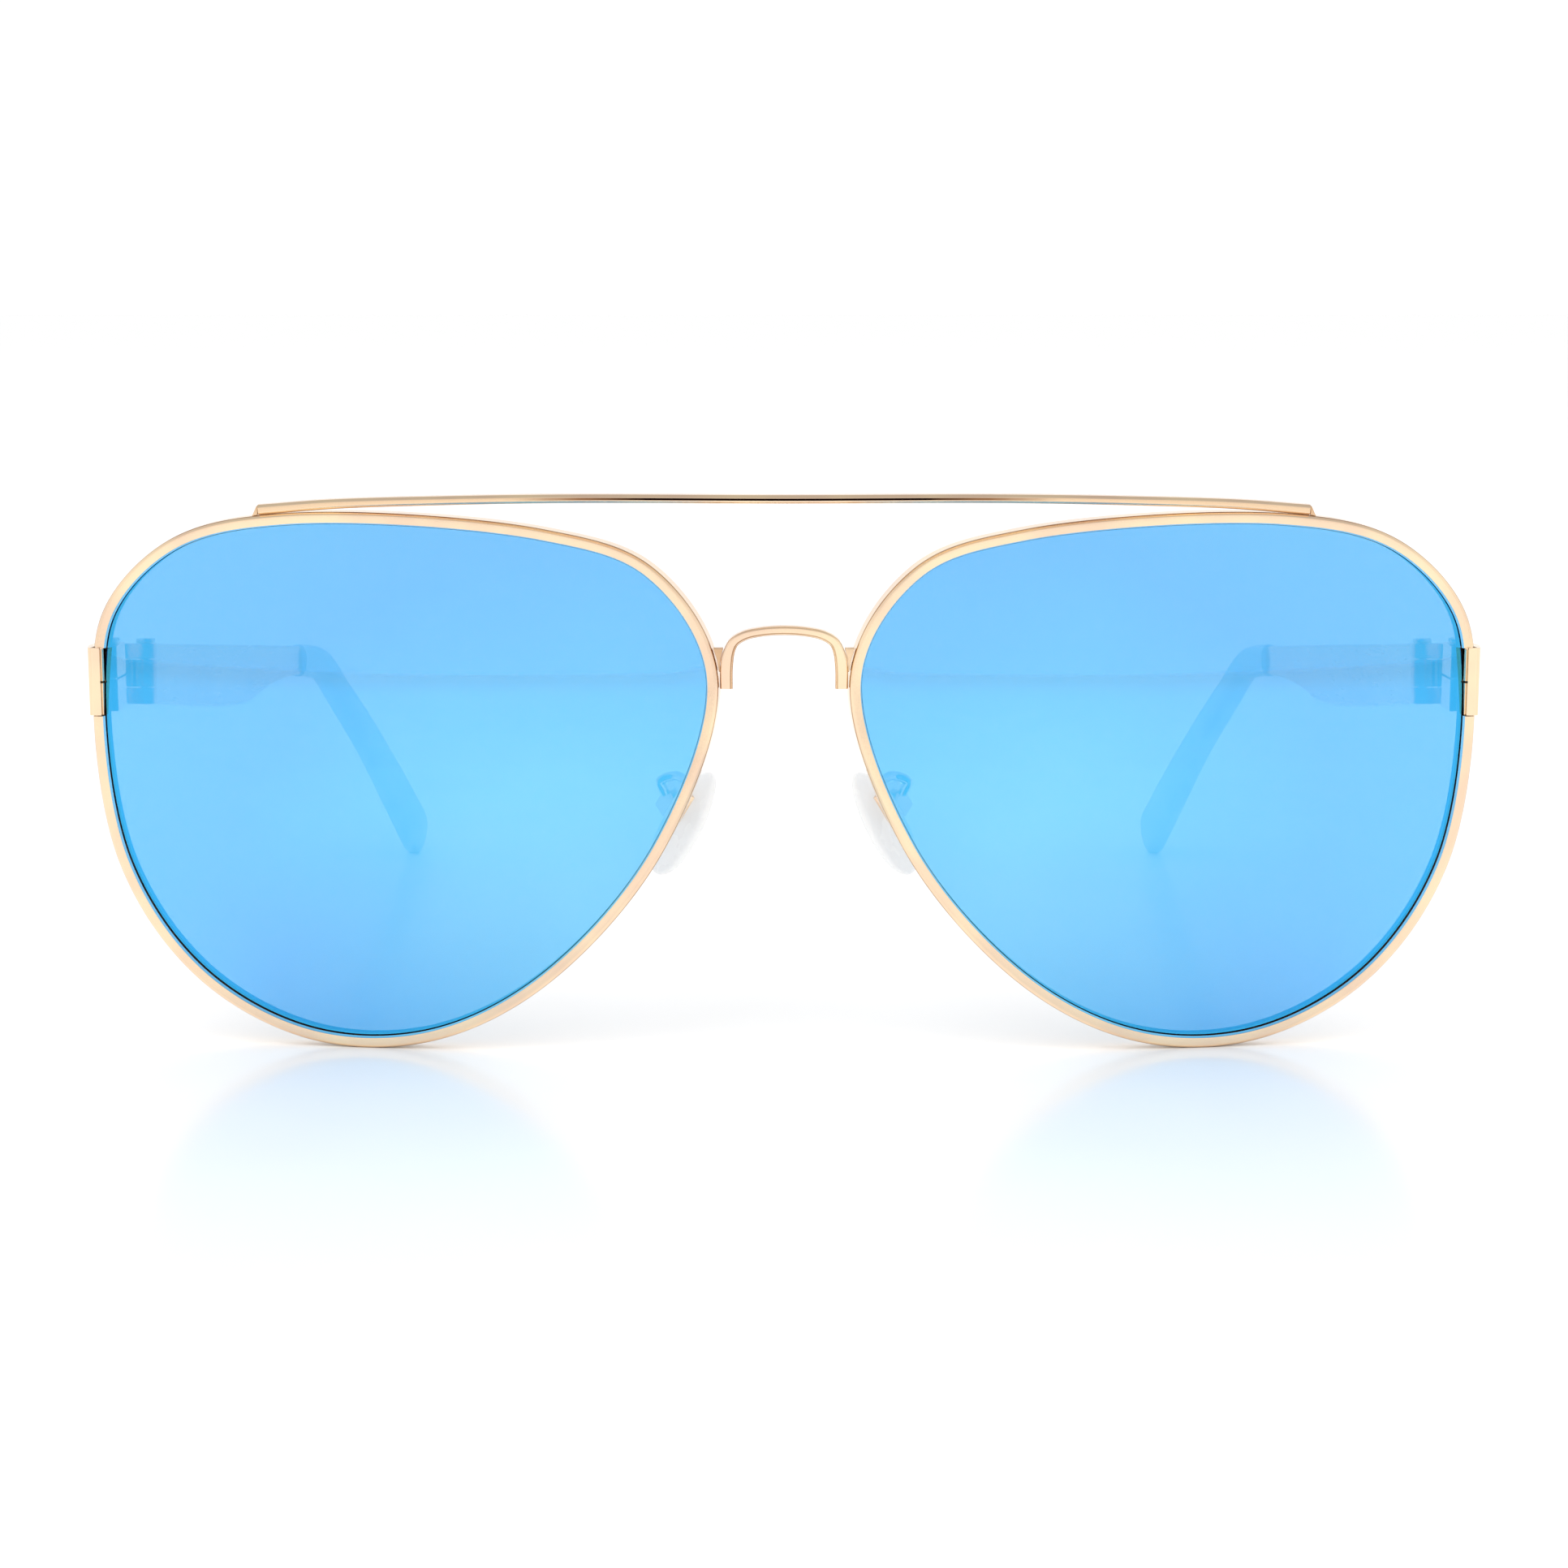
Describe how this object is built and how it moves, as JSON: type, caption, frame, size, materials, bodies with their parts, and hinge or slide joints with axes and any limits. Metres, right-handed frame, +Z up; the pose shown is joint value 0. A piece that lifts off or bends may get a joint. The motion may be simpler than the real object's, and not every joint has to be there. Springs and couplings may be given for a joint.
{
  "type": "aviator sunglasses",
  "caption": "Metal-framed teardrop sunglasses with mirrored blue lenses, a double bridge, rocking nose pads and folding temples.",
  "frame": {"origin": "middle of the footprint on the table, with the temples open", "axes": "+X to the right seen from the front, +Y back along the temples, +Z up"},
  "size_m": [0.1456, 0.1414, 0.0583],
  "materials": {
    "gold_wire": "polished pale gold plating",
    "solder": "smoothed solder under the plating",
    "screw_steel": "small slotted screws",
    "mirror_lens": "pale blue mirror coating",
    "clear_tip": "clear moulded sleeve",
    "silicone": "clear silicone, satin",
    "pad_plastic": "moulded tab"
  },
  "bodies": {
    "front": {"brow_bar": "gold_wire", "bridge_arch": "gold_wire", "left_rim": "gold_wire", "left_lens": "mirror_lens", "left_bar_foot": "solder", "left_bridge_solder": "solder", "left_closing_block_upper": "gold_wire", "left_closing_block_lower": "gold_wire", "left_rim_screw": "screw_steel", "left_end_piece": "gold_wire", "left_front_hinge": "gold_wire", "left_hinge_screw": "screw_steel", "left_pad_arm": "gold_wire", "left_pad_box": "gold_wire", "left_pad_screw": "screw_steel", "right_rim": "gold_wire", "right_lens": "mirror_lens", "right_bar_foot": "solder", "right_bridge_solder": "solder", "right_closing_block_upper": "gold_wire", "right_closing_block_lower": "gold_wire", "right_rim_screw": "screw_steel", "right_end_piece": "gold_wire", "right_front_hinge": "gold_wire", "right_hinge_screw": "screw_steel", "right_pad_arm": "gold_wire", "right_pad_box": "gold_wire", "right_pad_screw": "screw_steel"},
    "left_temple_body": {"left_temple": "gold_wire", "left_temple_hinge": "gold_wire", "left_temple_tip": "clear_tip"},
    "left_pad_body": {"left_nose_pad": "silicone", "left_pad_stem": "pad_plastic"},
    "right_temple_body": {"right_temple": "gold_wire", "right_temple_hinge": "gold_wire", "right_temple_tip": "clear_tip"},
    "right_pad_body": {"right_nose_pad": "silicone", "right_pad_stem": "pad_plastic"}
  },
  "joints": [
    {"name": "right_temple_fold", "type": "hinge", "parent": "front", "child": "right_temple_body", "pos_m": [0.0685, -0.04932, 0.03794], "axis": [0, 0.1013, 0.9949], "range_deg": [0, 85]},
    {"name": "left_temple_fold", "type": "hinge", "parent": "front", "child": "left_temple_body", "pos_m": [-0.0685, -0.04932, 0.03794], "axis": [0, -0.1013, -0.9949], "range_deg": [0, 80]},
    {"name": "right_pad_rock", "type": "hinge", "parent": "front", "child": "right_pad_body", "pos_m": [0.01135, -0.05953, 0.0255], "axis": [0.3398, 0.8591, 0.3826], "range_deg": [-8, 8]},
    {"name": "left_pad_rock", "type": "hinge", "parent": "front", "child": "left_pad_body", "pos_m": [-0.01135, -0.05953, 0.0255], "axis": [0.3398, -0.8591, -0.3826], "range_deg": [-8, 8]}
  ]
}
